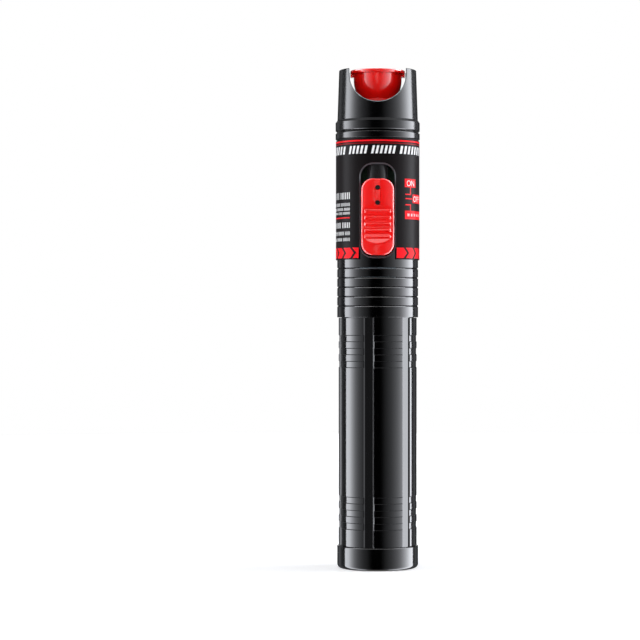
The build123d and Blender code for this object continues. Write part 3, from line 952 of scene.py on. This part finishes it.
# The shoulder over the flange is dull, and the notch's broken edge is painted pale grey, a painted highlight.
shoulder_skin = 0.1
wall_skin = 0.02
top_skin = 0.05
for face in head_cap.data.polygons:
    radius = hypot(face.center.x, face.center.y) / mm
    x, height = face.center.x / mm, face.center.z / mm
    from_notch = hypot(x, min(0, height - notch_middle)) - notch_radius
    by_notch = skin < from_notch < notch_chamfer and height < head_top - top_skin
    under_wall = -notch_chamfer < radius - head_wall(height) < -wall_skin
    on_shoulder = head_flange_top < height < head_flange_top + shoulder_rise
    if on_shoulder and radius > head_base_radius - shoulder_skin:
        face.material_index = 1
    elif by_notch and under_wall:
        face.material_index = 2
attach(head_cap, "pen")
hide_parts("head_cap")


# Dust cap
# Moulded gloss red plastic with a bowl-shaped body, a thin flange to pull it by, two small lugs
# under the flange and a hollow skirt that grips the port's neck.
cap_flange_radius, cap_low, cap_top = node_sizes("dust_cap")
cap_flange_low = 153.4
cap_body_radius = 7.45
cap_bowl_start = 151.5
cap_bowl_radius = 9.9
cap_skirt_radius = 5.5
cap_skirt_round = 0.2
flange_root_round = 0.12
flange_low_round = 0.2
flange_top_round = 0.16
cap_bore = 4.35
cap_bore_top = 150.6
bowl_sweep = acos((cap_bowl_radius - cap_body_radius + cap_skirt_radius) / cap_bowl_radius)
bowl_steps = 24
bowl = []
for index in range(bowl_steps + 1):
    angle = bowl_sweep * index / bowl_steps
    bowl.append((
        cap_body_radius - cap_bowl_radius * (1 - cos(angle)), cap_bowl_start - cap_bowl_radius * sin(angle)
    ))
cap_outline = [(0, cap_top), (0, cap_bore_top), (cap_bore, cap_bore_top), (cap_bore, cap_low)]
cap_outline += [(cap_skirt_radius, cap_low, cap_skirt_round)] + list(reversed(bowl))
cap_outline += [
    (cap_body_radius, cap_flange_low, flange_root_round),
    (cap_flange_radius, cap_flange_low, flange_low_round), (cap_flange_radius, cap_top, flange_top_round),
]
cap_red = grained(
    finish_material(
        "cap_red", (0.98, 0.006, 0.004), 0.2, Coat_Weight=0.45, Coat_IOR=2.5, Coat_Roughness=0.12
    ),
    scale=1500, rough_low=0.16, rough_high=0.2, bump=0.02,
)
dust_cap = as_piece(spun(cap_outline), "moulded_dust_cap", cap_red)
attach(dust_cap, "dust_cap")
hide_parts("dust_cap")
lug_low = 152.4
lug_high = cap_flange_low + 0.1
lug_inner = cap_body_radius - 0.25
lug_outer = cap_flange_radius - 0.05
lug_half = 1.2
lug_round = 0.15
for side, name in ((-1, "cap_lug_left"), (1, "cap_lug_right")):
    work = bmesh.new()
    lug_size = Matrix.Diagonal((lug_outer - lug_inner, 2 * lug_half, lug_high - lug_low, 1))
    lug_place = Matrix.Translation((side * (lug_outer + lug_inner) / 2, 0, (lug_low + lug_high) / 2))
    bmesh.ops.create_cube(work, size=1, matrix=lug_place @ lug_size)
    bmesh.ops.bevel(
        work, geom=work.edges[:], offset=lug_round, segments=3, profile=0.5,
        affect="EDGES", material=-1, clamp_overlap=True,
    )
    lug = as_piece(work, name, cap_red)
    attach(lug, "dust_cap")


# Inner parts
# The cells, switch, board, laser and port inside the pen keep their own form. Each has the finish
# of what it is made of: nickel plate, brass, ceramic, moulded plastic, rubber, lacquer or glass. The
# board's lacquer is near-black, painted shade for the dark gaps beside the carrier.
bright_nickel = grained(
    finish_material("bright_nickel", (0.62, 0.6, 0.57), 0.22, Metallic=1.0),
    scale=2500, rough_low=0.16, rough_high=0.3, bump=0.15, stretch=(1, 1, 6),
)
white_ceramic = grained(
    finish_material("white_ceramic", (0.78, 0.77, 0.73), 0.25),
    scale=1500, rough_low=0.2, rough_high=0.3, bump=0.05,
)
moulded_grey = grained(
    finish_material("moulded_grey", (0.05, 0.05, 0.052), 0.5),
    scale=1200, rough_low=0.42, rough_high=0.58, bump=0.3,
)
seal_rubber = grained(
    finish_material("seal_rubber", (0.02, 0.02, 0.02), 0.6),
    scale=1500, rough_low=0.5, rough_high=0.7, bump=0.4,
)
brass_metal = grained(
    finish_material("brass_metal", (0.75, 0.5, 0.2), 0.25, Metallic=1.0),
    scale=2500, rough_low=0.18, rough_high=0.32, bump=0.15, stretch=(1, 1, 6),
)
cell_jacket = grained(
    finish_material("cell_jacket", (0.03, 0.09, 0.25), 0.3),
    scale=900, rough_low=0.25, rough_high=0.36, bump=0.05,
)
# The board's mask is near-black, painted shade that darkens the gaps seen beside the carrier.
near_black_board_painted_shade = grained(
    finish_material("near_black_board_painted_shade", (0.004, 0.012, 0.006), 0.4),
    scale=2500, rough_low=0.25, rough_high=0.4, bump=0.3,
)
lens_glass = grained(
    finish_material("lens_glass", (0.9, 0.93, 0.95), 0.05, Transmission_Weight=0.9),
    scale=800, rough_low=0.03, rough_high=0.06, bump=0.02,
)
inner_finishes = (
    (bright_nickel, (
        "fibre_port", "port_nut", "tail_spring", "tail_contact_plate", "positive_contact", "switch_body",
        "capacitor", "ground_leaf",
    )),
    (moulded_grey, ("cell_holder", "laser_cradle", "driver_chip", "resistors")),
    (brass_metal, ("laser_barrel", "laser_diode", "lens_lock_ring")),
    (cell_jacket, ("lower_cell", "upper_cell")),
    (white_ceramic, ("ferrule_sleeve",)),
    (seal_rubber, ("tail_seal",)),
    (gloss_black, ("switch_knob",)),
    (near_black_board_painted_shade, ("circuit_board",)),
    (lens_glass, ("collimating_lens",)),
)
for finish, names in inner_finishes:
    for name in names:
        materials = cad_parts[name].data.materials
        materials.clear()
        materials.append(finish)


# Studio
# Tall curved reflectors that show in gloss only, weaker softboxes beside and before the pen that
# light its colours, and dim cards behind and above. The round paper floor keeps the shadow and is
# white further out.
lamp_white = (0.955, 0.98, 1.04)
plain_white = (1, 1, 1, 1)


def staged(name, work, finish):
    """The mesh as something that stands in the studio."""
    piece = in_scene(work, name, finish)
    return piece


def math_step(tree, operation, *sources):
    """The result of a Math node, where each source is a number or what another node gives."""
    step = tree.nodes.new("ShaderNodeMath")
    step.operation = operation
    for socket, source in zip(step.inputs, sources):
        if isinstance(source, bpy.types.NodeSocket):
            tree.links.new(source, socket)
        else:
            socket.default_value = source
    return step.outputs["Value"]


def graded_glow(name, stops):
    """Light that follows (azimuth from the front, radiance) stops, blended by square roots."""
    made = bpy.data.materials.new(name)
    made.use_nodes = True
    tree = made.node_tree
    tree.nodes.remove(tree.nodes["Principled BSDF"])
    place = tree.nodes.new("ShaderNodeTexCoord")
    split = tree.nodes.new("ShaderNodeSeparateXYZ")
    tree.links.new(place.outputs["Object"], split.inputs["Vector"])
    forward = math_step(tree, "MULTIPLY", split.outputs["Y"], -1)
    azimuth = math_step(tree, "ARCTAN2", split.outputs["X"], forward)
    turns = [radians(stop[0]) for stop in stops]
    start, end = min(turns), max(turns)
    peak = max(radiance for _, radiance in stops)
    ramp = tree.nodes.new("ShaderNodeValToRGB")
    ramp.color_ramp.interpolation = "LINEAR"
    levels = [(radiance / peak) ** 0.5 for _, radiance in stops]
    places = sorted(((turn - start) / (end - start), level) for turn, level in zip(turns, levels))
    while len(ramp.color_ramp.elements) < len(places):
        ramp.color_ramp.elements.new(0.5)
    for element, (position, level) in zip(ramp.color_ramp.elements, places):
        element.position = position
        element.color = (level, level, level, 1)
    tree.links.new(ranged(tree, azimuth, 0, 1, start=start, end=end), ramp.inputs["Fac"])
    square = math_step(tree, "POWER", ramp.outputs["Color"], 2)
    glow = tree.nodes.new("ShaderNodeEmission")
    glow.inputs["Color"].default_value = (*lamp_white, 1)
    tree.links.new(math_step(tree, "MULTIPLY", square, peak), glow.inputs["Strength"])
    tree.links.new(glow.outputs["Emission"], tree.nodes["Material Output"].inputs["Surface"])
    return made


def curved_card(name, radius, low, high, stops):
    """A tall card bent round the pen from the first stop's azimuth to the last one's."""
    start, end = radians(stops[0][0]), radians(stops[-1][0])
    steps = max(2, round(abs(end - start) / radians(3)))
    work = bmesh.new()
    verts = [work.verts.new((radius * sin(start), -radius * cos(start), z)) for z in (low, high)]
    swept(work, verts + [work.edges.new(verts)], end - start, steps)
    card = staged(name, work, graded_glow(name, stops))
    card.visible_camera = False
    return card


def flat_card(name, middle, across, up, radiance):
    """A flat card that glows evenly, given by its middle and its two half sides."""
    middle, across, up = Vector(middle), Vector(across), Vector(up)
    work = bmesh.new()
    corners = (middle - across - up, middle + across - up, middle + across + up, middle - across + up)
    work.faces.new([work.verts.new(corner) for corner in corners])
    glow = finish_material(
        name, (0, 0, 0), 1.0, Specular_IOR_Level=0.0, Emission_Color=plain_white, Emission_Strength=radiance
    )
    card = staged(name, work, glow)
    card.visible_camera = False
    return card


def only_in_gloss(card):
    """Leaves the card to reflections, so that it lights no colour and casts no shadow."""
    card.visible_diffuse = False
    card.visible_shadow = False
    card.visible_transmission = False


# Stops along each card: degrees from the front towards +X, and radiance.
left_stops = (
    (-12, 0.0), (-22, 0.09), (-30, 0.3), (-39, 0.48), (-48, 0.85), (-58, 1.5), (-68, 2.8), (-78, 5.6),
    (-90, 10.0), (-105.8, 9.0),
)
right_stops = (
    (5, 0.0), (12, 0.05), (22, 0.29), (30, 0.51), (39, 0.82), (48, 1.34), (58, 2.1), (68, 3.3), (78, 5.6),
    (90, 8.6), (102, 11.4), (118, 10.0),
)
surround_stops = (
    (-172, 0.04), (-156, 0.05), (-146, 0.25), (-136, 0.42), (-124, 0.2), (-112, 0.14), (-100, 0.0),
    (100, 0.0), (112, 0.14), (124, 0.2), (136, 0.35), (146, 0.2), (156, 0.05), (172, 0.04),
)
softbox_share = 0.3
sides = (("left", left_stops), ("right", right_stops))
for side, stops in sides:
    only_in_gloss(curved_card(f"{side}_reflector", radius=0.6, low=-2.0, high=2.3, stops=stops))
for side, stops in sides:
    softer = [(azimuth, softbox_share * radiance) for azimuth, radiance in stops]
    softbox = curved_card(f"{side}_softbox", radius=0.6, low=0.0, high=1.6, stops=softer)
    softbox.visible_glossy = False
only_in_gloss(curved_card("surround_card", radius=1.2, low=-3.0, high=4.6, stops=surround_stops))
only_in_gloss(flat_card("roof_card", (0, 0, 4.6), (1.3, 0, 0), (0, 1.3, 0), radiance=0.05))
only_in_gloss(flat_card("top_card", (0, 0.15, 1.3), (0.75, 0, 0), (0, 0.45, 0), radiance=6.0))
flat_card("key_softbox", (0, -0.72, 1.15), (0.4, 0, 0), (0, 0.17, 0.12), radiance=2.5)
for softbox in (
    flat_card("upper_softbox", (0, -1.1, 0.95), (0.6, 0, 0), (0, 0.22, 0.3), radiance=1.6),
    flat_card("front_softbox", (0, -1.35, 0.35), (0.6, 0, 0), (0, 0, 0.35), radiance=8.4),
):
    softbox.visible_glossy = False

floor_radius = 0.8
floor_drop = 0.05 * mm
shadow_radius = 0.12
white_radius = 0.6
shadow_level = 0.4
paper_grain = 40
paper_roughness = (0.85, 0.95)
paper = finish_material("floor_paper", (0.82, 0.82, 0.82), 0.9, Emission_Color=plain_white)
tree = paper.node_tree
surface = tree.nodes["Principled BSDF"]
noise = tree.nodes.new("ShaderNodeTexNoise")
noise.inputs["Scale"].default_value = paper_grain
tree.links.new(ranged(tree, noise.outputs["Fac"], *paper_roughness), surface.inputs["Roughness"])
place = tree.nodes.new("ShaderNodeTexCoord")
reach = tree.nodes.new("ShaderNodeVectorMath")
reach.operation = "LENGTH"
tree.links.new(place.outputs["Object"], reach.inputs[0])
fade = ranged(tree, reach.outputs["Value"], shadow_level, 1.0, start=shadow_radius, end=white_radius)
rays = tree.nodes.new("ShaderNodeLightPath")
seen = math_step(tree, "MAXIMUM", rays.outputs["Is Camera Ray"], rays.outputs["Is Transmission Ray"])
tree.links.new(math_step(tree, "MULTIPLY", seen, fade), surface.inputs["Emission Strength"])
disc = bmesh.new()
bmesh.ops.create_circle(disc, cap_ends=True, segments=128, radius=floor_radius)
floor = staged("floor", disc, paper)
floor.location = (0, 0, -floor_drop)
floor.visible_glossy = False

world_level = 0.25
world = bpy.data.worlds.new("studio")
scene.world = world
world.use_nodes = True
tree = world.node_tree
ground = tree.nodes["Background"]
ground.inputs["Color"].default_value = plain_white
rays = tree.nodes.new("ShaderNodeLightPath")
seen = math_step(tree, "MAXIMUM", rays.outputs["Is Camera Ray"], rays.outputs["Is Glossy Ray"])
seen = math_step(tree, "MAXIMUM", seen, rays.outputs["Is Transmission Ray"])
tree.links.new(ranged(tree, seen, world_level, 1.0), ground.inputs["Strength"])


# Camera
# Level with the pen's middle, as the photograph looks, with the frame shifted so that the pen
# stands right of its centre.
photo_width = 640
pen_pixel = 377.65
pixels_per_mm = 3.21
camera_distance = 680
camera_height = 77.0
eye = bpy.data.cameras.new("camera")
eye.sensor_width = 36
eye.lens = eye.sensor_width * pixels_per_mm * camera_distance / photo_width
eye.shift_x = -(pen_pixel - photo_width / 2) / photo_width
eye.clip_start = 0.01
eye.clip_end = 20
camera = bpy.data.objects.new("camera", eye)
camera.location = (0, -camera_distance * mm, camera_height * mm)
camera.rotation_euler = (pi / 2, 0, 0)
scene.collection.objects.link(camera)
scene.camera = camera
scene.view_settings.view_transform = "Standard"
